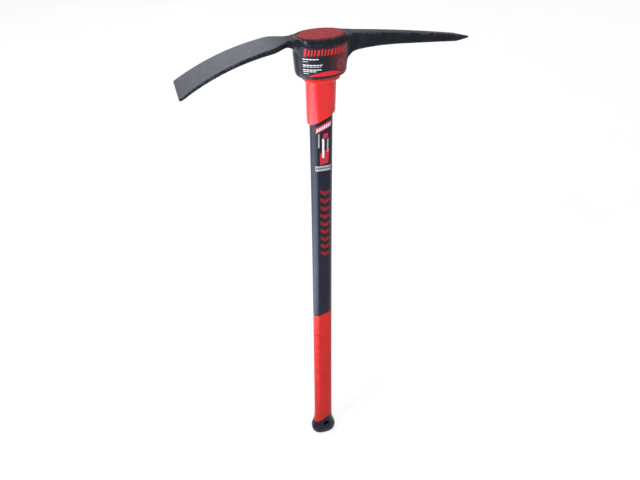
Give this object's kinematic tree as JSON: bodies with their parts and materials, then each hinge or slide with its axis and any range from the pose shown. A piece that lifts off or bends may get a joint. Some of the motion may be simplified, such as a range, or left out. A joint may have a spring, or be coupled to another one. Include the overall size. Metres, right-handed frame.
{
  "type": "pick mattock",
  "caption": "Long two-handed digging tool: curved adze blade and square pick on an oval eye, fibreglass handle with collar, grip and knobbed end cap.",
  "frame": {"origin": "centre of the flat end of the butt cap", "axes": "+Z along the handle towards the head, +X towards the pick's point, -X towards the adze's edge, -Y towards the labelled side"},
  "size_m": [0.474, 0.0736, 0.914],
  "materials": {
    "forged_steel": "satin blue-black lacquer over forged steel",
    "plate_steel": "plain zinc-plated steel",
    "plug_red": "dusty matt red",
    "moulding_red": "semi-gloss red moulding",
    "grip_red": "soft satin red with fine grain",
    "jacket_grey": "satin dark slate",
    "cap_black": "matt black rubber",
    "core_white": "pultruded glass fibre in polyester",
    "label_film": "printed glossy film"
  },
  "bodies": {
    "root": {"mattock_head": "forged_steel", "eye_plug": "plug_red", "lock_plate": "plate_steel", "core_rod": "core_white", "handle_jacket": "jacket_grey", "overstrike_collar": "moulding_red", "grip_sleeve": "grip_red", "butt_cap": "cap_black", "head_label": "label_film", "handle_label": "label_film"}
  },
  "joints": []
}
